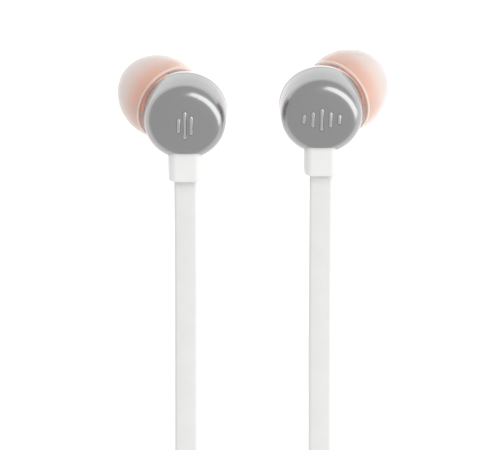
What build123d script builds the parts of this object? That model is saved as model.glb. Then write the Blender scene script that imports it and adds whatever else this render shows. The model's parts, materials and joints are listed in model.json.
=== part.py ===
from build123d import *
import math
import os

# Neckband earphones, laid out on a flat surface.
# Millimetres, +Z up.  Y runs along the leads, with the buds at the +Y end.

# ---- where things stand ----
BUD_X = 10.4                # half the distance between the two buds
BUD_Y = 68.217              # middle of the left bud's rim
RIGHT_BUD_LEAD = 0.9        # how much further up the right bud lies
BUD_Z = 10.913              # height of the middle of the rim, with the tip on the surface
BUD_TILT = 26.0             # lean of the bud's face towards the cable
POD_GAP = 82.0              # from a collar's end to the boot of its pod, along Y
COIL_GAP = 20.0             # from the pods' lower boots to the top of the coil

# ---- bud body (bud frame: z towards the face, -y towards the collar) ----
RIM_R = 6.4
RIM_BAND = 0.35
FACE_R = 5.95
FACE_EDGE_Z = 5.3
CROWN_Z = 6.4
SHOULDER_BULGE = 0.16       # how far the cap's side stands out from straight
FACE_FILLET = 2.3
MARK_DEPTH = 0.14           # level bars sunk into the face, as (x, length)
LEFT_MARK = [(-0.95, 2.4), (0.0, 4.6), (0.95, 3.2)]
RIGHT_MARK = [(-2.7, 1.6), (-1.35, 2.6), (0.0, 3.7), (1.35, 2.6), (2.7, 1.6)]
MARK_W = 0.6
MARK_CORNER = 0.28
MARK_Y = 0.35
CAP_WALL = 0.8
SLOT_Z = 0.8
SLOT_SIDE = 0.08            # air on each side of the collar

COLLAR_W = 5.2
COLLAR_T = 4.3
COLLAR_Z = 3.05
COLLAR_CORNER = 1.2
COLLAR_END_CORNER = 0.9     # seen from above, where the collar goes under the cap
COLLAR_END_FILLET = 0.5
COLLAR_IN_Y = -4.68
COLLAR_OUT_Y = -9.8
COLLAR_ROOT_Y = -4.38
COLLAR_ROOT_W = 4.2
COLLAR_ROOT_T = 2.3

BOWL_R = 6.45
BOWL_DEPTH = 3.75
BOWL_FLAT = 2.2
BOWL_INNER_FLAT = 1.8
BOWL_CURVE = [(0.7, 0.83), (0.9, 0.48)]     # shares of the radius and of the depth
TONGUE_R = 5.4
TONGUE_WALL = 0.45
TONGUE_TOP = 1.2
NEST_R = 4.35               # pocket that centres the driver
NEST_TOP = 0.6
SHELF_Z = -0.75
SHELF_T = 0.45
SHELF_HOLE_R = 3.6

# ---- nozzle and ear tip (nozzle frame: z outwards from the tip's rear lip) ----
NOZZLE_TILT = 38.0          # lean outwards
NOZZLE_RISE = 7.0           # lean away from the collar
LIP_X = -2.494
LIP_Z = -3.024
NOZZLE_R = 2.4
NOZZLE_BORE_R = 1.6
NOZZLE_END = 7.0
NOZZLE_ROOT = -2.6
BARB_R = 2.75
BARB_LOW = 5.1
BARB_RISE = 0.4
BARB_LAND = 0.5
BARB_HIGH = 6.7
MESH_R = 1.95
MESH_T = 0.15
MESH_SINK = 0.35
CORE_BORE_R = 2.8
CORE_R = 3.5
CORE_REAR = 1.8
TIP_OUTSIDE = [
    (6.0, 0), (6.2, 1.2), (6.25, 2.4), (6.15, 3.6),
    (5.85, 4.8), (5.35, 6.0), (4.6, 7.2), (3.5, 8.43),
]
TIP_INSIDE = [
    (3.5, 7.3), (4.1, 6.85), (4.8, 5.95), (5.33, 4.7),
    (5.63, 3.6), (5.74, 2.4), (5.7, 1.2), (5.55, 0),
]
CORE_FRONT = [(3.5, 8.43), (3.1, 8.85), (2.8, 8.85)]

# ---- driver (bud frame) ----
DRIVER_R = 4.3
COVER_T = 0.25
COVER_HOLE_R = 0.45
COVER_HOLE_RING = 2.2
FRAME_WALL = 0.45
FRAME_BACK_Z = 0.9
FRAME_BACK_T = 0.3
FRAME_STEP_R = 3.45
FRAME_STEP_Z = 0.1
YOKE_R = 2.9
YOKE_WALL = 0.4
YOKE_BACK_Z = 3.0
MAGNET_R = 1.9
MAGNET_Z = 1.5
MAGNET_T = 1.1
TOP_PLATE_R = 2.0
TOP_PLATE_Z = 1.0
VOICE_R = 2.12
VOICE_WALL = 0.2
VOICE_TOP = 1.9
FILM = 0.1
DIAPHRAGM_R = 3.8
DOME_RISE = 0.28
VENTS = 4                   # pressure vents round the yoke
VENT_R = 0.18
SOLDER_W = 2.4              # solder board beside the yoke
SOLDER_T = 0.3
SOLDER_AIR = 0.1
SOLDER_EDGE = 0.15

# ---- pods (pod frame: y along the lead, z up from the surface) ----
POD_W = 9.6
POD_L = 44.0
POD_H = 6.8
POD_CORNER = 3.4
POD_WALL = 1.1
POD_TOP_FILLET = 1.4
POD_BASE_FILLET = 0.8
POD_SPLIT = 3.2
LIP_H = 0.5
LIP_WALL = 0.45
FIT = 0.04

BOOT_L = 5.0
BOOT_Z = 2.3
BOOT_W = 4.8
BOOT_T = 2.4
BOOT_END_W = 4.1
BOOT_END_T = 1.7
BOOT_FLANGE_W = 5.8
BOOT_FLANGE_T = 2.0
BOOT_FLANGE_L = 0.8
BOOT_NECK = 0.6             # straight part outside the pod's wall
BOOT_CORNER = 0.75

BOARD_W = 6.6
BOARD_L = 39.0
BOARD_Z = 2.0
BOARD_T = 0.8
BOARD_CORNER = 0.5
POST_R = 0.7
POST_X = 2.5
POST_Y = 17.5

KEY_YS = {"plus": 13.0, "play": 4.0, "minus": -5.0}
KEY_W = 5.2
KEY_L = 7.0
KEY_CORNER = 1.8
KEY_TOP = 7.2
KEY_PLAY = 0.08
KEY_FLANGE_W = 6.4
KEY_FLANGE_L = 8.0
KEY_FLANGE_Z = 4.75
KEY_FLANGE_TOP = 5.62
KEY_TRAVEL = 0.3
KEY_ROUNDING = 0.4
SIGN_DEPTH = 0.12           # plus, minus and play signs sunk into the keys
SIGN_REACH = 1.1
SIGN_HALF_W = 0.2
PLAY_SIGN = [(-0.8, -0.9), (0.9, 0), (-0.8, 0.9)]
SWITCH_W = 3.4
SWITCH_TOP = 4.3
STEM_R = 0.9
STEM_BOTTOM = 3.9
STEM_SPARE = 0.2            # left under the stem with the key down
STEM_WELL = STEM_BOTTOM - KEY_TRAVEL - STEM_SPARE

SOCKET_Y = -13.8
SOCKET_MOUTH_X = 4.2
SOCKET_L = 7.5
SOCKET_H = 2.6
SOCKET_DEPTH = 5.0
SOCKET_WALL = 0.3
TONGUE_L = 3.7
TONGUE_T = 0.6
TONGUE_MOUTH_X = 3.55
TONGUE_ROOT = 0.8
COVER_X = 4.6               # hinge axis of the port cover
COVER_Y = -9.65
COVER_HALF = 0.35           # half its thickness
COVER_END_Y = -18.3
COVER_Z = 2.3
COVER_H = 3.6
COVER_AIR = 0.1
NUB_OUT = 0.3               # fingernail lip at the free end
NUB_L = 0.7
NUB_EDGE = 0.6
PLUG_DEPTH = 0.5
PLUG_L = 6.2
PLUG_H = 1.3

MIC_Y = 18.3
MIC_HOLE_R = 0.4
LED_X = -2.4
LED_Y = -13.8
PIPE_R = 0.6
PIPE_FLANGE_R = 0.9
PIPE_FLANGE_T = 0.5
PIPE_GAP = 0.6              # from the board to the pipe, over the light
LED_W = 1.0
LED_L = 0.8
LED_H = 0.5
MIC_W = 2.4
MIC_L = 1.8
MIC_H = 0.9
CHIP_W = 4.0
CHIP_T = 0.7
CHIP_Y = 4.0

CELL_W = 6.8
CELL_L = 27.0
CELL_Z = 1.7
CELL_H = 3.6
CELL_Y = 4.0
CELL_CORNER = 1.0
CELL_BOARD_Y = -15.5
CELL_BOARD_W = 6.4
CELL_BOARD_L = 6.5
CELL_BOARD_T = 0.8
CELL_BOARD_CORNER = 0.4
PAD_W = 6.0
PAD_CORNER = 0.8
PAD_EDGE = 0.5              # cell left bare beyond the pad
PAD_UNDER = 3.0             # pad on each side of the cell board's middle

# ---- cable ----
FLAT_W = 3.5
FLAT_T = 1.1
FLAT_CORNER = 0.45 * FLAT_T
TAIL_Z = 1.75
LEAD_LAST = 10.0            # level run into the pod's boot
LEAD_RISE = 19.0            # run from the surface up to the boot's height
COIL_R = 20.5               # outermost turn of the coil, middle of the cable
COIL_PITCH = 1.5
COIL_INNER_R = 16.0
COIL_BEND_R = 8.0
COIL_JOIN = 115.0           # where the right tail meets the coil, degrees from +X
LEFT_TAIL_FIRST = 12.0      # first and last runs of the two tails
LEFT_TAIL_LAST = 14.0
RIGHT_TAIL_FIRST = 10.6
RIGHT_TAIL_LAST = 10.4
TIE_ANGLE = -35.0
TIE_W = 6.0
TIE_T = 0.6
TIE_UNDER = 0.3

POD_X = BUD_X
MARGIN = 20.0               # size of cutting blocks beyond the work
OVER = 1.0                  # how far a cut goes past the surface
LAP = 0.2                   # how far a wall reaches into the one it stands on
FINE = 0.01
BEND_SHARE = 0.45           # of the shorter run, used by a cable's bend


# ---------------------------------------------------------------- helpers

def block(x0, x1, y0, y1, z0, z1):
    return Pos((x0 + x1) / 2, (y0 + y1) / 2, (z0 + z1) / 2) * Box(x1 - x0, y1 - y0, z1 - z0)


def rod(radius, z0, z1, x=0.0, y=0.0):
    return Pos(x, y, (z0 + z1) / 2) * Cylinder(radius, z1 - z0)


def ring(outer, inner, z0, z1):
    return rod(outer, z0, z1) - rod(inner, z0 - OVER, z1 + OVER)


def turned(points):
    """Solid turned about Z from corners given as (radius, height)."""
    corners = [(r, 0, z) for r, z in points]
    face = make_face(Polyline(*corners, close=True))
    return revolve(face, Axis.Z, 360)


def turned_curve(outside, inside):
    """Solid turned about Z between two smooth curves of (radius, height)."""
    out_line = Spline(*[(r, 0, z) for r, z in outside])
    in_line = Spline(*[(r, 0, z) for r, z in inside])
    edges = [out_line, Line(out_line @ 1, in_line @ 0), in_line, Line(in_line @ 1, out_line @ 0)]
    return revolve(make_face(edges), Axis.Z, 360)


def bar(width, length, corner, z0, z1, y=0.0):
    """Upright block with rounded corners, seen from above as width by length."""
    return Pos(0, y, z0) * extrude(RectangleRounded(width, length, corner), z1 - z0)


def nozzle_out():
    """Way the nozzle of the left bud points, in the bud frame."""
    tilt = math.radians(NOZZLE_TILT)
    rise = math.radians(NOZZLE_RISE)
    return (-math.sin(tilt) * math.cos(rise), math.sin(rise), -math.cos(tilt) * math.cos(rise))


def nozzle_frame():
    tilt = math.radians(NOZZLE_TILT)
    across = (math.cos(tilt), 0, -math.sin(tilt))
    return Plane(origin=(LIP_X, 0, LIP_Z), x_dir=across, z_dir=nozzle_out())


def bud_centre(side):
    lead = RIGHT_BUD_LEAD if side > 0 else 0.0
    return (side * BUD_X, BUD_Y + lead, BUD_Z)


def to_bud(shape, side):
    """Left-hand shape in the bud frame, put in its place."""
    if side > 0:
        shape = mirror(shape, about=Plane.YZ)
    return Pos(*bud_centre(side)) * Rot(BUD_TILT, 0, 0) * shape


def collar_exit(side):
    """Middle of the collar's end face, in the world."""
    tilt = math.radians(BUD_TILT)
    x, y, z = bud_centre(side)
    y += COLLAR_OUT_Y * math.cos(tilt) - COLLAR_Z * math.sin(tilt)
    z += COLLAR_OUT_Y * math.sin(tilt) + COLLAR_Z * math.cos(tilt)
    return (x, y, z)


def pod_top_y():
    """Y of the face where a lead meets the pod's upper boot."""
    return collar_exit(-1)[1] - POD_GAP


def pod_y():
    return pod_top_y() - BOOT_L - POD_L / 2


def to_pod(shape, side):
    return Pos(side * POD_X, pod_y(), 0) * shape


# ---------------------------------------------------------------- bud

def cap_solid(rim, face, edge_z, crown_z, rounding):
    """Solid cap: domed face, rounded edge and a side that bulges on its way to the rim."""
    sag = crown_z - edge_z
    dome_r = (face * face + sag * sag) / (2 * sag)
    half = face / 2
    half_z = crown_z - dome_r + math.sqrt(dome_r * dome_r - half * half)
    dome = ThreePointArc((0, 0, crown_z), (half, 0, half_z), (face, 0, edge_z))
    belly = ((face + rim) / 2 + SHOULDER_BULGE, 0, (edge_z + RIM_BAND) / 2)
    side = ThreePointArc((face, 0, edge_z), belly, (rim, 0, RIM_BAND))
    base = Polyline((rim, 0, RIM_BAND), (rim, 0, 0), (0, 0, 0), (0, 0, crown_z))
    body = revolve(make_face([dome, side, base]), Axis.Z, 360)
    corner = [edge for edge in body.edges() if edge.is_closed and abs(edge.center().Z - edge_z) < FINE]
    return fillet(corner, rounding)


def sunk_mark(bars):
    """Generic level bars, sunk into the cap's face."""
    group = None
    for x, length in bars:
        one = Pos(x, 0, 0) * bar(MARK_W, length, MARK_CORNER, FACE_EDGE_Z, CROWN_Z + OVER, MARK_Y)
        group = one if group is None else group + one
    floor = cap_solid(RIM_R, FACE_R, FACE_EDGE_Z - MARK_DEPTH, CROWN_Z - MARK_DEPTH, FACE_FILLET)
    return group - floor


def slot_plan(grow, z0, z1):
    """Upright block with the outline of the collar's root end, seen from above."""
    width = COLLAR_W + 2 * grow
    inner = COLLAR_IN_Y + grow
    outer = COLLAR_OUT_Y * 2
    return bar(width, inner - outer, COLLAR_END_CORNER + grow, z0, z1, (inner + outer) / 2)


def back_cap(bars):
    body = cap_solid(RIM_R, FACE_R, FACE_EDGE_Z, CROWN_Z, FACE_FILLET)
    hollow = cap_solid(
        RIM_R - CAP_WALL,
        FACE_R - CAP_WALL,
        FACE_EDGE_Z - CAP_WALL,
        CROWN_Z - CAP_WALL,
        FACE_FILLET / 2,
    )
    return body - hollow - slot_plan(SLOT_SIDE, SLOT_Z, MARGIN) - sunk_mark(bars)


def left_cap():
    return back_cap(LEFT_MARK)


def right_cap():
    return back_cap(RIGHT_MARK)


def collar():
    length = COLLAR_IN_Y - COLLAR_OUT_Y
    front = Plane(origin=(0, COLLAR_IN_Y, COLLAR_Z), x_dir=(1, 0, 0), z_dir=(0, -1, 0))
    body = extrude(front * RectangleRounded(COLLAR_W, COLLAR_T, COLLAR_CORNER), length)
    end = body.faces().sort_by(Axis.Y)[0]
    body = fillet(end.edges(), COLLAR_END_FILLET)
    body &= slot_plan(0, -MARGIN, MARGIN)
    root_back = Plane(origin=(0, COLLAR_ROOT_Y, COLLAR_Z), x_dir=(1, 0, 0), z_dir=(0, -1, 0))
    root_length = COLLAR_ROOT_Y - COLLAR_IN_Y
    root = extrude(root_back * Rectangle(COLLAR_ROOT_W, COLLAR_ROOT_T), root_length)
    return body + root


def bowl(radius, depth, flat):
    between = [(radius * out, 0, -depth * down) for out, down in BOWL_CURVE]
    curve = Spline((flat, 0, -depth), *between, (radius, 0, 0))
    edges = [curve, Polyline((radius, 0, 0), (0, 0, 0), (0, 0, -depth), (flat, 0, -depth))]
    return revolve(make_face(edges), Axis.Z, 360)


def front_shell():
    place = nozzle_frame()
    tube = place * rod(NOZZLE_R, NOZZLE_ROOT, NOZZLE_END)
    top = BARB_LOW + BARB_RISE
    slopes = [(NOZZLE_R, BARB_LOW), (BARB_R, top), (BARB_R, top + BARB_LAND), (NOZZLE_R, BARB_HIGH)]
    barb = place * turned([(0, BARB_LOW)] + slopes + [(0, BARB_HIGH)])
    outside = bowl(BOWL_R, BOWL_DEPTH, BOWL_FLAT)
    body = outside + tube + barb
    cavity = bowl(BOWL_R - CAP_WALL, BOWL_DEPTH - CAP_WALL, BOWL_INNER_FLAT)
    cavity += rod(BOWL_R - CAP_WALL, 0, MARGIN)
    body -= cavity
    shelf = ring(BOWL_R - CAP_WALL / 2, SHELF_HOLE_R, SHELF_Z - SHELF_T, SHELF_Z)
    nest = ring(BOWL_R - CAP_WALL / 2, NEST_R, SHELF_Z, 0)
    nest &= outside
    shelf &= outside
    upstand = ring(TONGUE_R, TONGUE_R - TONGUE_WALL, -LAP, TONGUE_TOP)
    guide = ring(NEST_R + TONGUE_WALL, NEST_R, -LAP, NEST_TOP)
    half = COLLAR_W / 2 + 2 * SLOT_SIDE
    gap = block(-half, half, -MARGIN, COLLAR_ROOT_Y + SLOT_SIDE, SLOT_Z, MARGIN)
    body = body + shelf + nest + (upstand + guide - gap)
    body -= place * rod(NOZZLE_BORE_R, NOZZLE_ROOT - OVER, NOZZLE_END + OVER)
    body -= place * rod(MESH_R, NOZZLE_END - MESH_SINK, NOZZLE_END + OVER)
    return body


def nozzle_mesh():
    start = NOZZLE_END - MESH_SINK
    return nozzle_frame() * rod(MESH_R, start, start + MESH_T)


def tip_skirt():
    return nozzle_frame() * turned_curve(TIP_OUTSIDE, TIP_INSIDE)


def tip_core():
    corners = [(CORE_BORE_R, CORE_REAR), (CORE_R, CORE_REAR)] + CORE_FRONT
    return nozzle_frame() * turned(corners)


# ---------------------------------------------------------------- driver

def driver_cover():
    plate = rod(DRIVER_R, SHELF_Z, SHELF_Z + COVER_T)
    plate -= rod(COVER_HOLE_R, SHELF_Z - OVER, SHELF_Z + OVER)
    for step in range(6):
        turn = math.radians(60 * step)
        x = COVER_HOLE_RING * math.cos(turn)
        y = COVER_HOLE_RING * math.sin(turn)
        plate -= rod(COVER_HOLE_R, SHELF_Z - OVER, SHELF_Z + OVER, x, y)
    return plate


def driver_frame():
    front = SHELF_Z + COVER_T
    back = FRAME_BACK_Z + FRAME_BACK_T
    wall = ring(DRIVER_R, DRIVER_R - FRAME_WALL, front, back)
    step = ring(DRIVER_R - FRAME_WALL / 2, FRAME_STEP_R, FRAME_STEP_Z, FRAME_BACK_Z)
    plate = ring(DRIVER_R - FRAME_WALL / 2, YOKE_R, FRAME_BACK_Z, back)
    body = wall + step + plate
    reach = (YOKE_R + FRAME_STEP_R) / 2
    for step in range(VENTS):
        turn = math.radians((step + 0.5) * 360 / VENTS)
        body -= rod(VENT_R, FRAME_STEP_Z, back + OVER, reach * math.cos(turn), reach * math.sin(turn))
    return body


def driver_yoke():
    cup = rod(YOKE_R, FRAME_BACK_Z, YOKE_BACK_Z)
    return cup - rod(YOKE_R - YOKE_WALL, FRAME_BACK_Z - OVER, YOKE_BACK_Z - YOKE_WALL)


def driver_magnet():
    return rod(MAGNET_R, MAGNET_Z, MAGNET_Z + MAGNET_T)


def driver_top_plate():
    return rod(TOP_PLATE_R, TOP_PLATE_Z, MAGNET_Z)


def voice_coil():
    return ring(VOICE_R + VOICE_WALL, VOICE_R, FRAME_STEP_Z, VOICE_TOP)


def diaphragm():
    dome_r = VOICE_R
    sphere_r = (dome_r * dome_r + DOME_RISE * DOME_RISE) / (2 * DOME_RISE)
    half = dome_r / 2
    half_z = sphere_r - DOME_RISE - math.sqrt(sphere_r * sphere_r - half * half)
    front = ThreePointArc((0, 0, -DOME_RISE), (half, 0, half_z), (dome_r, 0, 0))
    back = ThreePointArc((dome_r, 0, FILM), (half, 0, half_z + FILM), (0, 0, FILM - DOME_RISE))
    rim = Polyline((dome_r, 0, 0), (DIAPHRAGM_R, 0, 0), (DIAPHRAGM_R, 0, FILM), (dome_r, 0, FILM))
    middle = Line((0, 0, FILM - DOME_RISE), (0, 0, -DOME_RISE))
    return revolve(make_face([front, rim, back, middle]), Axis.Z, 360)


def driver_board():
    back = FRAME_BACK_Z + FRAME_BACK_T
    half = SOLDER_W / 2
    return block(-half, half, YOKE_R + SOLDER_AIR, DRIVER_R - SOLDER_EDGE, back, back + SOLDER_T)


# ---------------------------------------------------------------- pods

def pod_outside():
    body = bar(POD_W, POD_L, POD_CORNER, 0, POD_H)
    body = fillet(body.faces().sort_by(Axis.Z)[-1].edges(), POD_TOP_FILLET)
    return fillet(body.faces().sort_by(Axis.Z)[0].edges(), POD_BASE_FILLET)


def pod_inside():
    return bar(POD_W - 2 * POD_WALL, POD_L - 2 * POD_WALL, POD_CORNER - POD_WALL, POD_WALL, POD_H - POD_WALL)


def pod_lip(extra):
    """Upstand of the base that goes up inside the top shell."""
    width = POD_W - 2 * POD_WALL
    length = POD_L - 2 * POD_WALL
    corner = POD_CORNER - POD_WALL
    grow = 2 * (LIP_WALL + extra)
    high = POD_SPLIT + LIP_H + extra
    outer = bar(width + grow, length + grow, corner + LIP_WALL, POD_SPLIT - LIP_H, high)
    return outer - bar(width, length, corner, POD_SPLIT - 2 * LIP_H, high + OVER)


def boot_holes():
    half = BOOT_W / 2
    low = BOOT_Z - BOOT_T / 2
    return block(-half, half, -POD_L, POD_L, low, low + BOOT_T)


def pod_base():
    low = block(-MARGIN, MARGIN, -POD_L, POD_L, -OVER, POD_SPLIT)
    return (pod_outside() & low) - pod_inside() + pod_lip(0) - boot_holes()


def pod_top():
    high = block(-MARGIN, MARGIN, -POD_L, POD_L, POD_SPLIT, MARGIN)
    return (pod_outside() & high) - pod_inside() - pod_lip(FIT) - boot_holes()


def boot_plane(end, distance):
    """Upright plane across the cable's way, facing out of the pod's end."""
    return Plane(origin=(0, end * distance, BOOT_Z), x_dir=(1, 0, 0), z_dir=(0, end, 0))


def boot(end):
    """Cable boot at the +Y (end 1) or -Y (end -1) end of a pod."""
    wall_in = POD_L / 2 - POD_WALL
    start = boot_plane(end, wall_in)
    neck = extrude(start * Rectangle(BOOT_W, BOOT_T), POD_WALL + BOOT_NECK)
    foot = boot_plane(end, POD_L / 2 + BOOT_NECK) * RectangleRounded(BOOT_W, BOOT_T, BOOT_CORNER)
    tip = boot_plane(end, POD_L / 2 + BOOT_L) * RectangleRounded(BOOT_END_W, BOOT_END_T, BOOT_CORNER)
    taper = loft([foot, tip])
    back = Plane(origin=(0, end * wall_in, BOOT_Z), x_dir=(1, 0, 0), z_dir=(0, -end, 0))
    flange = extrude(back * Rectangle(BOOT_FLANGE_W, BOOT_FLANGE_T), BOOT_FLANGE_L)
    return neck + taper + (flange & pod_inside())


def boots():
    return boot(1) + boot(-1)


def cover_recess():
    air = COVER_AIR
    return block(
        COVER_X - COVER_HALF - air / 2,
        MARGIN,
        COVER_END_Y - air,
        COVER_Y + COVER_HALF + air,
        COVER_Z - air,
        COVER_Z + COVER_H + air,
    )


def socket_hole():
    half = SOCKET_L / 2
    low = BOARD_Z + BOARD_T
    return block(0, MARGIN, SOCKET_Y - half, SOCKET_Y + half, low, low + SOCKET_H)


def control_base():
    body = pod_base()
    for x in (-POST_X, POST_X):
        for y in (-POST_Y, POST_Y):
            body += rod(POST_R, POD_WALL, BOARD_Z, x, y)
    return body - cover_recess() - socket_hole()


def control_top():
    body = pod_top()
    for y in KEY_YS.values():
        body -= bar(KEY_W + 2 * KEY_PLAY, KEY_L + 2 * KEY_PLAY, KEY_CORNER + KEY_PLAY, POD_SPLIT, MARGIN, y)
    body -= rod(MIC_HOLE_R, POD_SPLIT, MARGIN, 0, MIC_Y)
    body -= rod(PIPE_R, POD_SPLIT, MARGIN, LED_X, LED_Y)
    return body - cover_recess() - socket_hole()


def control_board():
    return bar(BOARD_W, BOARD_L, BOARD_CORNER, BOARD_Z, BOARD_Z + BOARD_T)


def key(y):
    cap = bar(KEY_W, KEY_L, KEY_CORNER, KEY_FLANGE_TOP, KEY_TOP, y)
    cap = fillet(cap.faces().sort_by(Axis.Z)[-1].edges(), KEY_ROUNDING)
    return cap + bar(KEY_FLANGE_W, KEY_FLANGE_L, KEY_CORNER, KEY_FLANGE_Z, KEY_FLANGE_TOP, y)


def key_marks(name, y):
    """Shallow engraved sign on top of a key: plus, minus or a triangle."""
    deep = KEY_TOP - SIGN_DEPTH
    high = KEY_TOP + OVER
    if name == "play":
        sign = Polyline(*[(px, py, deep) for px, py in PLAY_SIGN], close=True)
        return Pos(0, y, 0) * extrude(make_face(sign), OVER, dir=(0, 0, 1))
    bars = block(-SIGN_REACH, SIGN_REACH, y - SIGN_HALF_W, y + SIGN_HALF_W, deep, high)
    if name == "plus":
        bars += block(-SIGN_HALF_W, SIGN_HALF_W, y - SIGN_REACH, y + SIGN_REACH, deep, high)
    return bars


def switch_stem(y):
    return rod(STEM_R, STEM_BOTTOM, KEY_FLANGE_Z, 0, y)


def switch_bodies():
    low = BOARD_Z + BOARD_T
    half = SWITCH_W / 2
    group = None
    for y in KEY_YS.values():
        body = block(-half, half, y - half, y + half, low, SWITCH_TOP)
        body -= rod(STEM_R + FIT, STEM_WELL, MARGIN, 0, y)
        group = body if group is None else group + body
    return group


def radio_chip():
    half = CHIP_W / 2
    return block(-half, half, CHIP_Y - half, CHIP_Y + half, BOARD_Z - CHIP_T, BOARD_Z)


def microphone():
    low = BOARD_Z + BOARD_T
    return block(-MIC_W / 2, MIC_W / 2, MIC_Y - MIC_L / 2, MIC_Y + MIC_L / 2, low, low + MIC_H)


def status_led():
    low = BOARD_Z + BOARD_T
    half = LED_W / 2
    return block(LED_X - half, LED_X + half, LED_Y - LED_L / 2, LED_Y + LED_L / 2, low, low + LED_H)


def light_pipe():
    ceiling = POD_H - POD_WALL
    low = BOARD_Z + BOARD_T + PIPE_GAP
    flange = rod(PIPE_FLANGE_R, ceiling - PIPE_FLANGE_T, ceiling, LED_X, LED_Y)
    return rod(PIPE_R, low, POD_H, LED_X, LED_Y) + flange


def socket_shell():
    low = BOARD_Z + BOARD_T
    half = SOCKET_L / 2
    wall = SOCKET_WALL
    back = SOCKET_MOUTH_X - SOCKET_DEPTH
    body = block(back, SOCKET_MOUTH_X, SOCKET_Y - half, SOCKET_Y + half, low, low + SOCKET_H)
    inside = block(
        back + wall,
        MARGIN,
        SOCKET_Y - half + wall,
        SOCKET_Y + half - wall,
        low + wall,
        low + SOCKET_H - wall,
    )
    return body - inside


def socket_tongue():
    middle = BOARD_Z + BOARD_T + SOCKET_H / 2
    back = SOCKET_MOUTH_X - SOCKET_DEPTH + SOCKET_WALL
    y0 = SOCKET_Y - TONGUE_L / 2
    y1 = SOCKET_Y + TONGUE_L / 2
    root = SOCKET_H / 2 - SOCKET_WALL
    blade = block(back, TONGUE_MOUTH_X, y0, y1, middle - TONGUE_T / 2, middle + TONGUE_T / 2)
    return blade + block(back, back + TONGUE_ROOT, y0, y1, middle - root, middle + root)


def port_cover():
    face_in = COVER_X - COVER_HALF
    face_out = COVER_X + COVER_HALF
    top = COVER_Z + COVER_H
    plate = block(face_in, face_out, COVER_END_Y, COVER_Y, COVER_Z, top)
    knuckle = rod(COVER_HALF, COVER_Z, top, COVER_X, COVER_Y)
    low = COVER_Z + NUB_EDGE
    nub = block(face_out, face_out + NUB_OUT, COVER_END_Y, COVER_END_Y + NUB_L, low, top - NUB_EDGE)
    y0 = SOCKET_Y - PLUG_L / 2
    y1 = SOCKET_Y + PLUG_L / 2
    plug_z = BOARD_Z + BOARD_T + (SOCKET_H - PLUG_H) / 2
    plug = block(face_in - PLUG_DEPTH, face_in, y0, y1, plug_z, plug_z + PLUG_H)
    return plate + knuckle + nub + plug


def cell():
    return bar(CELL_W, CELL_L, CELL_CORNER, CELL_Z, CELL_Z + CELL_H, CELL_Y)


def cell_board():
    top = CELL_Z + CELL_BOARD_T
    return bar(CELL_BOARD_W, CELL_BOARD_L, CELL_BOARD_CORNER, CELL_Z, top, CELL_BOARD_Y)


def cell_pad():
    start = CELL_BOARD_Y - PAD_UNDER
    end = CELL_Y + CELL_L / 2 - PAD_EDGE
    return bar(PAD_W, end - start, PAD_CORNER, POD_WALL, CELL_Z, (start + end) / 2)


# ---------------------------------------------------------------- cable

def bend_radii(points):
    """One radius for each corner of a cable's route."""
    radii = []
    for a, b, c in zip(points, points[1:], points[2:]):
        into = Vector(*b) - Vector(*a)
        out = Vector(*c) - Vector(*b)
        half_turn = math.radians(into.get_angle(out)) / 2
        shorter = min(into.length, out.length)
        radii.append(BEND_SHARE * shorter / math.tan(half_turn))
    return radii


def print_run(name, line, body, area):
    expected = round(area * line.length, 1)
    print(name, "length", round(line.length, 2), "volume", round(body.volume, 1), "of", expected)


def route_line(name, points):
    radii = bend_radii(points)
    print(name, "radii", [round(r, 1) for r in radii])
    return FilletPolyline(*points, radius=radii)


def lead_points(side):
    tilt = math.radians(BUD_TILT)
    x, y0, z0 = collar_exit(side)
    floor_z = FLAT_T / 2
    fall = (z0 - floor_z) / math.tan(tilt)
    end_y = pod_top_y()
    last = end_y + LEAD_LAST
    turn = last + LEAD_RISE
    return [(x, y0, z0), (x, y0 - fall, floor_z), (x, turn, floor_z), (x, last, BOOT_Z), (x, end_y, BOOT_Z)]


def lead(side):
    points = lead_points(side)
    line = route_line("lead", points)
    start = Plane(origin=line @ 0, x_dir=(1, 0, 0), z_dir=line % 0)
    section = start * RectangleRounded(FLAT_W, FLAT_T, FLAT_CORNER)
    body = sweep(section, path=line)
    print_run("lead", line, body, section.area)
    return body


def coil_centre():
    bottom = pod_top_y() - 2 * BOOT_L - POD_L
    return (0.0, bottom - COIL_GAP - COIL_R - FLAT_T / 2)


def strand_radius(turn, start):
    return start - COIL_PITCH * (turn - 180) / 180


def tail_points(side):
    """Route from a pod's lower boot to the place where the cable joins the coil."""
    cx, cy = coil_centre()
    bottom = pod_top_y() - 2 * BOOT_L - POD_L
    x = side * POD_X
    if side < 0:
        join = (cx - COIL_R, cy, TAIL_Z)
        corner = (cx - COIL_R, cy + LEFT_TAIL_LAST, TAIL_Z)
        corners = [(x, bottom - LEFT_TAIL_FIRST, BOOT_Z), corner]
    else:
        radius = strand_radius(COIL_JOIN, COIL_R - COIL_PITCH)
        turn = math.radians(COIL_JOIN)
        join = (cx + radius * math.cos(turn), cy + radius * math.sin(turn), TAIL_Z)
        back = RIGHT_TAIL_LAST
        corner = (join[0] + back * math.sin(turn), join[1] - back * math.cos(turn), TAIL_Z)
        corners = [(x, bottom - RIGHT_TAIL_FIRST, BOOT_Z), corner]
    return [(x, bottom, BOOT_Z)] + corners + [join]


def tail(side):
    line = route_line("tail", tail_points(side))
    start = Plane(origin=line @ 0, z_dir=line % 0)
    body = sweep(start * Circle(FLAT_W / 2), path=line)
    print_run("tail", line, body, math.pi * FLAT_W * FLAT_W / 4)
    return body


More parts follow.
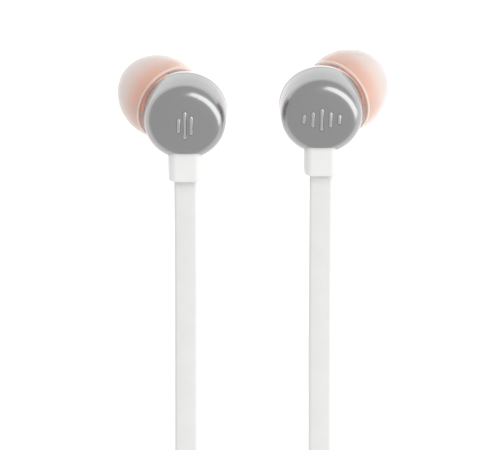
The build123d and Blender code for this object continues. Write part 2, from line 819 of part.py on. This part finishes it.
def neck_coil():
    cx, cy = coil_centre()
    half = FLAT_T / 2
    inner = COIL_INNER_R - half
    body = ring(COIL_R + half, inner, 0, FLAT_W)
    for sign in (1, -1):
        loop = ring(COIL_BEND_R + half, COIL_BEND_R - half, 0, FLAT_W)
        side = Pos(0, sign * MARGIN / 2, 0) * Box(2 * MARGIN, MARGIN, MARGIN)
        body += Pos(sign * COIL_BEND_R, 0, 0) * (loop & side)
    outer = COIL_R + half
    notch = block(inner - OVER, outer + OVER, -TIE_W / 2, TIE_W / 2, -OVER, TIE_UNDER)
    body -= Rot(0, 0, TIE_ANGLE) * notch
    return Pos(cx, cy, 0) * body


def coil_tie():
    cx, cy = coil_centre()
    half = FLAT_T / 2
    side = TIE_W / 2
    inner = math.sqrt((COIL_INNER_R - half) ** 2 - side * side) - FIT
    outer = COIL_R + half + FIT
    frame = block(inner - TIE_T, outer + TIE_T, -side, side, 0, FLAT_W + TIE_T)
    frame -= block(inner, outer, -side - OVER, side + OVER, TIE_UNDER, FLAT_W)
    return Pos(cx, cy, 0) * Rot(0, 0, TIE_ANGLE) * frame


# ---------------------------------------------------------------- the whole part

CAPS = {-1: left_cap, 1: right_cap}

BUD_PIECES = {
    "front_shell": front_shell,
    "nozzle_mesh": nozzle_mesh,
    "tip_skirt": tip_skirt,
    "tip_core": tip_core,
    "collar": collar,
    "driver_cover": driver_cover,
    "driver_frame": driver_frame,
    "driver_yoke": driver_yoke,
    "driver_magnet": driver_magnet,
    "driver_top_plate": driver_top_plate,
    "voice_coil": voice_coil,
    "diaphragm": diaphragm,
    "driver_board": driver_board,
}

CONTROL_PIECES = {
    "control_base": control_base,
    "control_top": control_top,
    "control_board": control_board,
    "control_boots": boots,
    "switch_bodies": switch_bodies,
    "radio_chip": radio_chip,
    "microphone": microphone,
    "status_led": status_led,
    "light_pipe": light_pipe,
    "socket_shell": socket_shell,
    "socket_tongue": socket_tongue,
    "port_cover": port_cover,
}

BATTERY_PIECES = {
    "battery_base": pod_base,
    "battery_top": pod_top,
    "battery_boots": boots,
    "cell": cell,
    "cell_board": cell_board,
    "cell_pad": cell_pad,
}


def build_all():
    made = {}
    for side, make in CAPS.items():
        name = "left_back_cap" if side < 0 else "right_back_cap"
        made[name] = to_bud(make(), side)
    for name, make in BUD_PIECES.items():
        piece = make()
        made["left_" + name] = to_bud(piece, -1)
        made["right_" + name] = to_bud(piece, 1)
    for name, make in CONTROL_PIECES.items():
        made[name] = to_pod(make(), 1)
    for name, y in KEY_YS.items():
        made[name + "_key"] = to_pod(key(y) - key_marks(name, y), 1)
        made[name + "_stem"] = to_pod(switch_stem(y), 1)
    for name, make in BATTERY_PIECES.items():
        made[name] = to_pod(make(), -1)
    made["left_lead"] = lead(-1)
    made["right_lead"] = lead(1)
    made["neck_cable_left"] = tail(-1)
    made["neck_cable_right"] = tail(1)
    made["neck_coil"] = neck_coil()
    made["coil_tie"] = coil_tie()
    return made


if __name__ == "__main__":
    os.makedirs("parts", exist_ok=True)
    for node, shape in build_all().items():
        export_step(shape, "parts/" + node + ".step")
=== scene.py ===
import json
import math

import bmesh
import bpy
from mathutils import Matrix, Vector


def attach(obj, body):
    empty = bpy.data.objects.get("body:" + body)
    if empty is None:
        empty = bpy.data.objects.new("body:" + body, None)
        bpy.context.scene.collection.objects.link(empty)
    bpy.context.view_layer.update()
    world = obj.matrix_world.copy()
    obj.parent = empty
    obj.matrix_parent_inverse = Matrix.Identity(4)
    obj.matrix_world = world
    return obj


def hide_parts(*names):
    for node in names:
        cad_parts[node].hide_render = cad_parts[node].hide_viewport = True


# Neckband earphones seen from straight above.  Metres, in the frame of the CAD.

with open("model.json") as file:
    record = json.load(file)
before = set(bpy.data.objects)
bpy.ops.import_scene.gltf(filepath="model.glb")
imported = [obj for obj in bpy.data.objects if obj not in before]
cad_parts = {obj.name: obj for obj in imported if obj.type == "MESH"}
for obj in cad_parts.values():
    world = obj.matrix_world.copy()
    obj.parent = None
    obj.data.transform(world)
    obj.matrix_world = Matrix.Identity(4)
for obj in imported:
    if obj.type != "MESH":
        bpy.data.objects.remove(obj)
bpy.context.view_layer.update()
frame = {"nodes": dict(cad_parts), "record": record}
nodes = frame["nodes"]

MM = 0.001
SIDES = {"left": -1, "right": 1}

# ---- places and sizes shared with the CAD model, in millimetres ----
BUD_X = 10.4                # from the middle to each bud and its pod
BUD_Y = 68.217
BUD_Z = 10.913
RIGHT_BUD_LEAD = 0.9        # how much further up the right bud lies
BUD_TILT = math.radians(26)
NOZZLE_TILT = math.radians(38)
NOZZLE_RISE = math.radians(7)
LIP = (-2.494, 0, -3.024)   # middle of the ear tip's rear lip, in the bud frame
COLLAR_OUT_Y = -9.8
COLLAR_Z = 3.05
FACE_R = 5.95
FACE_EDGE_Z = 5.3
CROWN_Z = 6.4
POD_GAP = 82.0
POD_L = 44.0
BOOT_L = 5.0
BOOT_Z = 2.3
FLAT_W = 3.5
FLAT_T = 1.1
FLAT_CORNER = 0.42          # a little tighter than in the CAD model
LEAD_LEVEL = 10.0           # level stretch of a lead before its pod
LEAD_RISE = 19.0            # stretch over which it leaves the surface
TAIL_Z = 1.75
COIL_GAP = 20.0
COIL_R = 20.5
COIL_PITCH = 1.5            # how far a strand moves inwards in half a turn
COIL_BEND_R = 8.0
COIL_JOIN = 115.0           # turn at which the right tail meets the coil
JOIN_REACH = 10.4
LEFT_TAIL_DROP = 12.0
LEFT_TAIL_RISE = 14.0
RIGHT_TAIL_DROP = 10.6

# ---- turns along the coil, in degrees, and how finely it is drawn ----
HALF_TURN = 180
WAY_IN_END = 720
WAY_OUT_END = 540
STRAND_POINTS = 24          # control points for each turn of a strand
BEND_POINTS = 16            # the same for the bends in the middle
SECTION_STEPS = 6           # steps round each corner of the cable's section

# ---- the neck cable turns on edge between the pods and the coil, in millimetres ----
TWIST_START = 2.0
TWIST_L = 26.0

# ---- bars in the faces, in millimetres in the bud frame ----
BAR_W = 0.56
BAR_Y = 0.35
BAR_END_GAP = 0.04          # how much shorter a metal bar is than its sunk bar
BAR_STEPS = [(0.0, -0.13), (0.0, -0.04), (0.06, 0.02), (0.14, 0.06), (0.22, 0.08)]     # inset and lift
LEFT_BARS = [(-0.95, 2.4), (0.0, 4.6), (0.95, 3.2)]                                    # x and length
RIGHT_BARS = [(-2.7, 1.6), (-1.35, 2.6), (0.0, 3.7), (1.35, 2.6), (2.7, 1.6)]

# ---- ear tip outlines, as (radius, height above the rear lip) in millimetres ----
SKIRT_OUTSIDE = [
    (6.0, 0), (6.2, 1.2), (6.25, 2.4), (6.15, 3.6), (5.85, 4.8), (5.35, 6.0), (4.6, 7.2), (3.6, 8.35),
]
SKIRT_FRONT = [(3.5, 8.4), (3.5, 8.2)]
SKIRT_INSIDE = [
    (3.5, 7.3), (4.1, 6.85), (4.8, 5.95), (5.33, 4.7), (5.63, 3.6), (5.74, 2.4), (5.7, 1.2), (5.62, 0.1),
]
SKIRT_LIP = [(5.68, -0.02), (5.8, -0.06), (5.92, -0.04)]
CORE_TUBE = [
    (2.85, 1.8), (3.45, 1.8), (3.5, 1.9), (3.5, 8.4), (3.35, 8.6),
    (3.1, 8.8), (2.9, 8.85), (2.8, 8.75), (2.8, 1.9),
]

# ---- camera, floor and light, with places in metres ----
CAMERA_LENS = 282
CAMERA_SPOT = (-0.0005, 0.05075, 0.6109)
FLOOR_HALF = 3.0
FLOOR_GLOW = 0.32
WORLD_GLOW = 0.80
WINDOW_TOWARDS = (0.742, 0.011, 0.671)
WINDOW_ALONG = (0.61, -0.57, -0.54)

EXIT_Y = BUD_Y + COLLAR_OUT_Y * math.cos(BUD_TILT) - COLLAR_Z * math.sin(BUD_TILT)
POD_TOP_Y = EXIT_Y - POD_GAP
POD_BOTTOM_Y = POD_TOP_Y - 2 * BOOT_L - POD_L
COIL_CENTRE = (0, POD_BOTTOM_Y - COIL_GAP - COIL_R - FLAT_T / 2)
DOME_R = (FACE_R ** 2 + (CROWN_Z - FACE_EDGE_Z) ** 2) / (2 * (CROWN_Z - FACE_EDGE_Z))


def bud_frame(side):
    """Bud frame of one side: z out of the face, -y towards the collar, -x towards the ear tip."""
    lead = RIGHT_BUD_LEAD if side > 0 else 0
    place = Matrix.Translation(Vector((side * BUD_X, BUD_Y + lead, BUD_Z)) * MM)
    flip = Matrix.Diagonal((-side, 1, 1, 1))
    return place @ Matrix.Rotation(BUD_TILT, 4, "X") @ flip


def nozzle_frame(side):
    """Frame of one ear tip: z outwards along the nozzle, from the tip's rear lip."""
    flat = math.cos(NOZZLE_RISE)
    out = Vector((
        -math.sin(NOZZLE_TILT) * flat,
        math.sin(NOZZLE_RISE),
        -math.cos(NOZZLE_TILT) * flat,
    ))
    across = Vector((math.cos(NOZZLE_TILT), 0, -math.sin(NOZZLE_TILT)))
    local = Matrix((across, out.cross(across), out)).transposed().to_4x4()
    return bud_frame(side) @ Matrix.Translation(Vector(LIP) * MM) @ local


# ---------------------------------------------------------------- camera

def make_camera():
    data = bpy.data.cameras.new("camera")
    data.lens = CAMERA_LENS
    data.sensor_width = 36
    data.clip_start = 0.01
    camera = bpy.data.objects.new("camera", data)
    camera.location = CAMERA_SPOT
    bpy.context.scene.collection.objects.link(camera)
    bpy.context.scene.camera = camera


make_camera()


# ---------------------------------------------------------------- materials

BUMP_DEPTH = 0.02 * MM
MOTTLE_LOW = 0.3            # share of the noise below which the darker shade is full
MOTTLE_HIGH = 0.7           # share above which the colour itself is full
COAT_ROUGHNESS = 0.04
FINE_SCALE = 9000           # grain of metallic paint


def new_material(name):
    made = bpy.data.materials.new(name)
    made.use_nodes = True
    tree = made.node_tree
    return made, tree, tree.nodes["Principled BSDF"]


def add_node(tree, kind, **values):
    made = tree.nodes.new(kind)
    for key, value in values.items():
        made.inputs[key].default_value = value
    return made


def mottle(tree, shader, colour, shade, scale, rough=None, bump=0.0, bump_scale=None):
    """Fine uneven colour, roughness and bump over the whole of a surface."""
    coords = tree.nodes.new("ShaderNodeTexCoord")
    noise = add_node(tree, "ShaderNodeTexNoise", Scale=scale, Detail=4.0)
    tree.links.new(coords.outputs["Object"], noise.inputs["Vector"])
    ramp = tree.nodes.new("ShaderNodeValToRGB")
    ramp.color_ramp.elements[0].position = MOTTLE_LOW
    ramp.color_ramp.elements[1].position = MOTTLE_HIGH
    ramp.color_ramp.elements[0].color = (*[c * (1 - shade) for c in colour], 1)
    ramp.color_ramp.elements[1].color = (*colour, 1)
    tree.links.new(noise.outputs["Fac"], ramp.inputs["Fac"])
    tree.links.new(ramp.outputs["Color"], shader.inputs["Base Color"])
    if rough:
        spread = tree.nodes.new("ShaderNodeMapRange")
        spread.inputs["To Min"].default_value = rough[0]
        spread.inputs["To Max"].default_value = rough[1]
        tree.links.new(noise.outputs["Fac"], spread.inputs["Value"])
        tree.links.new(spread.outputs["Result"], shader.inputs["Roughness"])
    if bump:
        grain = add_node(tree, "ShaderNodeTexNoise", Scale=bump_scale or scale, Detail=3.0)
        tree.links.new(coords.outputs["Object"], grain.inputs["Vector"])
        lift = add_node(tree, "ShaderNodeBump", Strength=bump, Distance=BUMP_DEPTH)
        tree.links.new(grain.outputs["Fac"], lift.inputs["Height"])
        tree.links.new(lift.outputs["Normal"], shader.inputs["Normal"])


def plain_material(
    name, colour, rough, metallic=0.0, coat=0.0, shade=0.05, scale=400, bump=0.1, bump_scale=6000, **more
):
    """Material of one colour with fine unevenness. more gives further shader values by name."""
    made, tree, shader = new_material(name)
    shader.inputs["Metallic"].default_value = metallic
    shader.inputs["Coat Weight"].default_value = coat
    shader.inputs["Coat Roughness"].default_value = COAT_ROUGHNESS
    for key, value in more.items():
        shader.inputs[key.replace("_", " ")].default_value = value
    mottle(tree, shader, colour, shade, scale, (rough * 0.9, rough * 1.1), bump, bump_scale)
    return made


silver_paint = plain_material(
    "silver_paint", (0.31, 0.31, 0.313), 0.26,
    metallic=0.85, coat=1.0, shade=0.08, scale=FINE_SCALE, bump=0.02,
)
bright_metal = plain_material(
    "bright_metal", (0.5, 0.5, 0.505), 0.22,
    metallic=0.9, coat=0.5, shade=0.06, scale=FINE_SCALE, bump=0.02,
)
white_shell = plain_material("white_shell", (0.80, 0.797, 0.79), 0.25, shade=0.02, bump=0.03)
white_rubber = plain_material("white_rubber", (0.78, 0.777, 0.77), 0.55, shade=0.03, bump=0.25)
# Darker copies of the white shell and rubber for the pods: painted shade, so that the pods don't wash out
# under the light.
pod_shell_painted_shade = plain_material("pod_shell_painted_shade", (0.63, 0.628, 0.623), 0.25, shade=0.02, bump=0.03)
pod_rubber_painted_shade = plain_material("pod_rubber_painted_shade", (0.61, 0.608, 0.603), 0.55, shade=0.03, bump=0.25)
# A darker copy of the white rubber for the cables: painted shade, an even darkening that stands in for the
# light falling off along them.
cable_rubber_painted_shade = plain_material("cable_rubber_painted_shade", (0.73, 0.727, 0.72), 0.55, shade=0.03, bump=0.25)
grey_rubber = plain_material("grey_rubber", (0.33, 0.33, 0.335), 0.5, shade=0.06, bump=0.3)
steel = plain_material("steel", (0.6, 0.6, 0.61), 0.25, metallic=1.0, shade=0.1, scale=2000)
magnet_plate = plain_material("magnet_plate", (0.7, 0.7, 0.71), 0.15, metallic=1.0, shade=0.05)
copper = plain_material("copper", (0.72, 0.33, 0.15), 0.3, metallic=1.0, shade=0.1, scale=5000)
film = plain_material("film", (0.6, 0.56, 0.44), 0.3, shade=0.05)
board_green = plain_material("board_green", (0.02, 0.12, 0.05), 0.35, shade=0.3, scale=1500)
dark_plastic = plain_material("dark_plastic", (0.02, 0.02, 0.02), 0.4, shade=0.2)
clear_plastic = plain_material(
    "clear_plastic", (0.85, 0.9, 0.95), 0.1, shade=0.02, Transmission_Weight=0.7,
)
cell_wrap = plain_material("cell_wrap", (0.6, 0.61, 0.62), 0.35, metallic=0.8, shade=0.1)
foam = plain_material(
    "foam", (0.02, 0.02, 0.02), 0.9, shade=0.4, scale=3000, bump=0.6, bump_scale=2500,
)

# The look of each of the record's material slots, and the darker copies, painted shade, that the pods'
# white parts take instead so that they don't wash out under the light.
LOOKS = {
    "silver_paint": silver_paint,
    "white_shell": white_shell,
    "white_rubber": white_rubber,
    "grey_rubber": grey_rubber,
    "steel": steel,
    "magnet": magnet_plate,
    "copper": copper,
    "film": film,
    "board": board_green,
    "dark_plastic": dark_plastic,
    "clear_plastic": clear_plastic,
    "cell_wrap": cell_wrap,
    "foam": foam,
}
POD_NODES = ("control_", "battery_", "port_cover")
POD_PAINTED_SHADE_LOOKS = {white_shell: pod_shell_painted_shade, white_rubber: pod_rubber_painted_shade}

TIP_RAMP_END = 8.0 * MM     # how far along the nozzle the stops reach


def share_ramp(tree, source, stops):
    """Colour output that runs through the stops, given as (share, colour), as source goes from 0 to 1."""
    ramp = tree.nodes.new("ShaderNodeValToRGB")
    ends = ramp.color_ramp.elements
    while len(ends) < len(stops):
        ends.new(0.5)
    for end, (share, colour) in zip(ends, stops):
        end.position = share
        end.color = (*colour, 1)
    tree.links.new(source.outputs["Result"], ramp.inputs["Fac"])
    return ramp.outputs["Color"]


def tip_material(name, side, stops, cover, glow, lit):
    """Milky silicone. Its colour stops and its cover stops follow the distance along the nozzle.

    glow is how much light spreads under the surface, and lit how much warm light it gives off, a painted
    glow that stands in for light passing through the silicone.
    """
    made, tree, shader = new_material(name)
    place = nozzle_frame(side)
    start = place @ Vector((0, 0, 0))
    out = (place @ Vector((0, 0, 1)) - start).normalized()
    coords = tree.nodes.new("ShaderNodeTexCoord")
    along = tree.nodes.new("ShaderNodeVectorMath")
    along.operation = "DOT_PRODUCT"
    along.inputs[1].default_value = out
    tree.links.new(coords.outputs["Object"], along.inputs[0])
    spread = add_node(tree, "ShaderNodeMapRange")
    spread.inputs["From Min"].default_value = start.dot(out)
    spread.inputs["From Max"].default_value = start.dot(out) + TIP_RAMP_END
    tree.links.new(along.outputs["Value"], spread.inputs["Value"])
    tree.links.new(share_ramp(tree, spread, stops), shader.inputs["Base Color"])
    shader.inputs["Roughness"].default_value = 0.3
    shader.inputs["IOR"].default_value = 1.41
    if cover:
        tree.links.new(share_ramp(tree, spread, cover), shader.inputs["Alpha"])
    # Painted warm glow: the silicone gives off light though it is no lamp.
    shader.inputs["Emission Color"].default_value = (*WARM, 1)
    shader.inputs["Emission Strength"].default_value = lit
    shader.inputs["Subsurface Weight"].default_value = glow
    shader.inputs["Subsurface Radius"].default_value = (1.0, 0.5, 0.4)
    shader.inputs["Subsurface Scale"].default_value = MM
    shader.inputs["Coat Weight"].default_value = 0.3
    shader.inputs["Coat Roughness"].default_value = 0.1
    return made


LIP_PALE = (0.72, 0.62, 0.575)
WARM = (0.84, 0.42, 0.30)
GLOW = (0.83, 0.585, 0.49)
BLUSH = (0.82, 0.695, 0.645)
MILKY = (0.75, 0.745, 0.74)
SKIRT_STOPS = [(0.0, LIP_PALE), (0.015, LIP_PALE), (0.045, GLOW), (0.16, GLOW), (0.4, BLUSH), (0.8, MILKY)]
CORE_STOPS = [(0.0, WARM), (0.45, WARM), (1.0, BLUSH)]
SKIRT_COVER = [
    (share, (cover,) * 3)
    for share, cover in ((0.0, 0.9), (0.015, 0.9), (0.045, 0.42), (1.0, 0.8))
]
skirt_looks = {
    side: tip_material("tip_silicone", side, SKIRT_STOPS, cover=SKIRT_COVER, glow=0.4, lit=0.0)
    for side in SIDES.values()
}
# The tube gives off a painted warm glow that stands in for light passing through the silicone and lifts
# the shade inside the tip.
core_looks = {
    side: tip_material("tip_core", side, CORE_STOPS, cover=None, glow=0.5, lit=0.18)
    for side in SIDES.values()
}


# ---------------------------------------------------------------- mesh helpers

def link(name, mesh, look, place=None, body="headset"):
    if place is not None:
        mesh.transform(place)
        if place.is_negative:
            mesh.flip_normals()
    made = bpy.data.objects.new(name, mesh)
    bpy.context.scene.collection.objects.link(made)
    made.data.materials.append(look)
    for face in mesh.polygons:
        face.use_smooth = True
    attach(made, body)
    return made


def lathe(profile, turns=96):
    """Closed ring mesh from a closed loop of (radius, height) points in millimetres."""
    work = bmesh.new()
    rings = []
    for radius, height in profile:
        ring = []
        for step in range(turns):
            angle = 2 * math.pi * step / turns
            spot = (radius * math.cos(angle) * MM, radius * math.sin(angle) * MM, height * MM)
            ring.append(work.verts.new(spot))
        rings.append(ring)
    for here, there in zip(rings, rings[1:] + rings[:1]):
        for step in range(turns):
            after = (step + 1) % turns
            work.faces.new((here[step], here[after], there[after], there[step]))
    bmesh.ops.recalc_face_normals(work, faces=work.faces)
    mesh = bpy.data.meshes.new("lathe")
    work.to_mesh(mesh)
    work.free()
    return mesh


def smooth_line(points, steps=8):
    """Points along a smooth curve through the given 2-D points."""
    out = []
    last = len(points) - 1
    for index in range(last):
        around = [points[min(max(index + k, 0), last)] for k in (-1, 0, 1, 2)]
        for step in range(steps):
            t = step / steps
            spot = []
            for a, b, c, d in zip(*around):
                square = 2 * a - 5 * b + 4 * c - d
                cube = 3 * b - a - 3 * c + d
                spot.append((2 * b + (c - a) * t + square * t * t + cube * t ** 3) / 2)
            out.append(tuple(spot))
    out.append(points[-1])
    return out


# ---------------------------------------------------------------- cable

def route_points(name, points):
    """Points, in metres, along the smooth NURBS curve whose control points are given in millimetres."""
    curve = bpy.data.curves.new(name + "_route", "CURVE")
    curve.dimensions = "3D"
    spline = curve.splines.new("NURBS")
    spline.points.add(len(points) - 1)
    for spot, point in zip(spline.points, points):
        spot.co = (*[value * MM for value in point], 1)
    spline.order_u = 3
    spline.use_endpoint_u = True
    spline.resolution_u = 8
    holder = bpy.data.objects.new(name + "_route", curve)
    bpy.context.scene.collection.objects.link(holder)
    bpy.context.view_layer.update()
    line = bpy.data.meshes.new_from_object(holder)
    spots = [vertex.co.copy() for vertex in line.vertices]
    bpy.data.objects.remove(holder)
    bpy.data.meshes.remove(line)
    return spots


def flat_section():
    """Rounded flat section of the cable, in millimetres."""
    half_w = FLAT_W / 2
    half_t = FLAT_T / 2
    points = []
    for cx, cy, start in ((1, 1, 0), (-1, 1, 90), (-1, -1, 180), (1, -1, 270)):
        for step in range(SECTION_STEPS + 1):
            angle = math.radians(start + 90 * step / SECTION_STEPS)
            x = cx * (half_w - FLAT_CORNER) + FLAT_CORNER * math.cos(angle)
            y = cy * (half_t - FLAT_CORNER) + FLAT_CORNER * math.sin(angle)
            points.append((x, y))
    return points


def ribbon(name, points, twist):
    """Flat cable along a route. twist gives the turn on edge, in radians, at a length along it."""
    spots = route_points(name, points)
    section = flat_section()
    work = bmesh.new()
    rings = []
    run = 0.0
    for index, spot in enumerate(spots):
        before = spots[max(index - 1, 0)]
        after = spots[min(index + 1, len(spots) - 1)]
        run += (spot - before).length
        ahead = (after - before).normalized()
        side = ahead.cross(Vector((0, 0, 1))).normalized()
        up = side.cross(ahead)
        angle = twist(run / MM)
        wide = side * math.cos(angle) + up * math.sin(angle)
        thin = up * math.cos(angle) - side * math.sin(angle)
        rings.append([work.verts.new(spot + (wide * x + thin * y) * MM) for x, y in section])
    count = len(section)
    for here, there in zip(rings, rings[1:]):
        for step in range(count):
            after = (step + 1) % count
            work.faces.new((here[step], here[after], there[after], there[step]))
    work.faces.new(rings[0])
    work.faces.new(list(reversed(rings[-1])))
    bmesh.ops.recalc_face_normals(work, faces=work.faces)
    mesh = bpy.data.meshes.new(name)
    work.to_mesh(mesh)
    work.free()
    made = link(name, mesh, cable_rubber_painted_shade)
    return made, spots, run


def collar_exit(side):
    """Where a lead leaves its bud's collar, in millimetres."""
    spot = bud_frame(side) @ (Vector((0, COLLAR_OUT_Y, COLLAR_Z)) * MM)
    return spot / MM


def make_lead(name, side):
    """Flat lead from a bud's collar down to the surface and into its pod."""
    x, start_y, start_z = collar_exit(side)
    fall = (start_z - FLAT_T / 2) / math.tan(BUD_TILT)
    last = POD_TOP_Y + LEAD_LEVEL
    points = [
        (x, start_y, start_z),
        (x, start_y - fall, FLAT_T / 2),
        (x, last + LEAD_RISE, FLAT_T / 2),
        (x, last, BOOT_Z),
        (x, POD_TOP_Y, BOOT_Z),
    ]
    made, path, length = ribbon(name + "_flat", points, lambda run: 0.0)
    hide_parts(name)


def strand_radius(turn, start_r):
    """Distance of a strand from the coil's middle at a turn, in degrees."""
    return start_r - COIL_PITCH * (turn - HALF_TURN) / HALF_TURN


def strand(start_turn, end_turn, start_r):
    """Control points of one strand of the coil, from outside in, in millimetres."""
    cx, cy = COIL_CENTRE
    grow = 1 / math.cos(math.pi / STRAND_POINTS)
    steps = round((end_turn - start_turn) / 360 * STRAND_POINTS)
    points = []
    for step in range(steps + 1):
        turn = start_turn + (end_turn - start_turn) * step / steps
        radius = strand_radius(turn, start_r)
        angle = math.radians(turn)
        points.append((cx + grow * radius * math.cos(angle), cy + grow * radius * math.sin(angle), TAIL_Z))
    return points


def inner_bend():
    """Control points of the S in the middle of the coil, from its right side to its left."""
    cx, cy = COIL_CENTRE
    half = BEND_POINTS // 2
    radius = COIL_BEND_R / math.cos(math.pi / BEND_POINTS)
    points = []
    for way in (1, -1):
        for step in range(1, half):
            angle = math.radians(way * HALF_TURN * step / half)
            x = cx + way * COIL_BEND_R + radius * math.cos(angle)
            points.append((x, cy + radius * math.sin(angle), TAIL_Z))
    return points


def make_neck_cable():
    """Flat cable from pod to pod, on edge and wound double into a coil."""
    cx, cy = COIL_CENTRE
    left_tail = [
        (-BUD_X, POD_BOTTOM_Y, BOOT_Z),
        (-BUD_X, POD_BOTTOM_Y - LEFT_TAIL_DROP, BOOT_Z),
        (cx - COIL_R, cy + LEFT_TAIL_RISE, TAIL_Z),
    ]
    join_r = strand_radius(COIL_JOIN, COIL_R - COIL_PITCH)
    angle = math.radians(COIL_JOIN)
    join_x = cx + join_r * math.cos(angle)
    join_y = cy + join_r * math.sin(angle)
    right_tail = [
        (join_x + JOIN_REACH * math.sin(angle), join_y - JOIN_REACH * math.cos(angle), TAIL_Z),
        (BUD_X, POD_BOTTOM_Y - RIGHT_TAIL_DROP, BOOT_Z),
        (BUD_X, POD_BOTTOM_Y, BOOT_Z),
    ]
    way_in = strand(HALF_TURN, WAY_IN_END, COIL_R)
    way_out = list(reversed(strand(COIL_JOIN, WAY_OUT_END, COIL_R - COIL_PITCH)))
    points = left_tail + way_in + inner_bend() + way_out + right_tail
    spots = route_points("neck_measure", points)
    total = sum((b - a).length for a, b in zip(spots, spots[1:])) / MM

    def twist(run):
        edge = min(run, total - run)
        part = min(max((edge - TWIST_START) / TWIST_L, 0.0), 1.0)
        return math.pi / 2 * (3 * part * part - 2 * part ** 3)

    made, path, length = ribbon("neck_cable", points, twist)
    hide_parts("neck_cable_left", "neck_cable_right", "neck_coil")


for side_name, side_sign in SIDES.items():
    make_lead(side_name + "_lead", side_sign)
make_neck_cable()


# ---------------------------------------------------------------- ear tips

def make_tip(name, side):
    """Translucent dome and warm inner tube of one ear tip."""
    profile = smooth_line(SKIRT_OUTSIDE) + SKIRT_FRONT + smooth_line(SKIRT_INSIDE) + SKIRT_LIP
    place = nozzle_frame(side)
    skirt = link(name + "_tip_dome", lathe(profile), skirt_looks[side], place, name + "_ear_tip")
    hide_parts(name + "_tip_skirt")
    core = link(name + "_tip_tube", lathe(CORE_TUBE), core_looks[side], place, name + "_ear_tip")
    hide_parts(name + "_tip_core")


for side_name, side_sign in SIDES.items():
    make_tip(side_name, side_sign)


# ---------------------------------------------------------------- bars in the faces

def dome_height(x, y):
    """Height of the cap's face in the bud frame, in millimetres."""
    return CROWN_Z - DOME_R + math.sqrt(DOME_R ** 2 - x * x - y * y)


def bar_outline(width, length, steps=8):
    """Long slot shape with round ends."""
    radius = width / 2
    points = []
    for end, start in ((1, 0), (-1, math.pi)):
        for step in range(steps + 1):
            angle = start + math.pi * step / steps
            y = end * (length / 2 - radius) + radius * math.sin(angle)
            points.append((radius * math.cos(angle), y))
    return points


def make_bars(name, side, bars):
    """Generic level bars of polished metal, let into the sunk bars of a bud's face."""
    work = bmesh.new()
    for bar_x, length in bars:
        loops = []
        for inset, lift in BAR_STEPS:
            loop = []
            for x, y in bar_outline(BAR_W - 2 * inset, length - BAR_END_GAP - 2 * inset):
                spot = (bar_x + x, BAR_Y + y)
                loop.append(work.verts.new(Vector((*spot, dome_height(*spot) + lift)) * MM))
            loops.append(loop)
        for here, there in zip(loops, loops[1:]):
            for step in range(len(here)):
                after = (step + 1) % len(here)
                work.faces.new((here[step], here[after], there[after], there[step]))
        work.faces.new(loops[-1])
        work.faces.new(list(reversed(loops[0])))
    bmesh.ops.recalc_face_normals(work, faces=work.faces)
    mesh = bpy.data.meshes.new(name)
    work.to_mesh(mesh)
    work.free()
    made = link(name, mesh, bright_metal, bud_frame(side))


make_bars("left_bars", SIDES["left"], LEFT_BARS)
make_bars("right_bars", SIDES["right"], RIGHT_BARS)


# ---------------------------------------------------------------- CAD nodes that stay

def dress_nodes():
    """Give each CAD node that stays the look of its slot; the white parts of the pods take darker copies,
    painted shade.
    """
    slots = {entry["node"]: entry["material_slot"] for entry in frame["record"]["subparts"]}
    for node_name, node in nodes.items():
        look = LOOKS.get(slots[node_name])
        if node_name.startswith(POD_NODES):
            look = POD_PAINTED_SHADE_LOOKS.get(look, look)
        if look is None:
            continue
        node.data.materials.clear()
        node.data.materials.append(look)


dress_nodes()


# ---------------------------------------------------------------- floor and light

def make_floor():
    mesh = bpy.data.meshes.new("floor")
    corners = [(x * FLOOR_HALF, y * FLOOR_HALF, 0) for x, y in ((-1, -1), (1, -1), (1, 1), (-1, 1))]
    mesh.from_pydata(corners, [], [(0, 1, 2, 3)])
    floor = bpy.data.objects.new("floor", mesh)
    bpy.context.scene.collection.objects.link(floor)
    made, tree, shader = new_material("floor_white")
    mottle(tree, shader, (0.95, 0.95, 0.95), 0.005, 20)
    shader.inputs["Emission Color"].default_value = (1, 1, 1, 1)
    shader.inputs["Emission Strength"].default_value = FLOOR_GLOW
    shader.inputs["Roughness"].default_value = 0.9
    shader.inputs["Specular IOR Level"].default_value = 0.1
    mesh.materials.append(made)


def strip_light(name, towards, along, distance, length, width, power):
    """Long soft light that faces the buds from the direction towards, lying along the direction along."""
    target = Vector((0, BUD_Y, BUD_Z)) * MM
    back = Vector(towards).normalized()
    lengthwise = Vector(along)
    lengthwise = (lengthwise - back * lengthwise.dot(back)).normalized()
    across = lengthwise.cross(back)
    data = bpy.data.lights.new(name, "AREA")
    data.shape = "RECTANGLE"
    data.size = width
    data.size_y = length
    data.energy = power
    lamp = bpy.data.objects.new(name, data)
    turn = Matrix((across, lengthwise, back)).transposed().to_4x4()
    lamp.matrix_world = Matrix.Translation(target + back * distance) @ turn
    bpy.context.scene.collection.objects.link(lamp)


def make_world(strength):
    world = bpy.data.worlds.new("world")
    world.use_nodes = True
    shade = world.node_tree.nodes["Background"]
    shade.inputs["Color"].default_value = (1, 1, 1, 1)
    shade.inputs["Strength"].default_value = strength
    bpy.context.scene.world = world


make_floor()
make_world(WORLD_GLOW)
strip_light("window", WINDOW_TOWARDS, WINDOW_ALONG, distance=1.0, length=1.9, width=0.6, power=8.0)
bpy.context.scene.view_settings.view_transform = "Standard"
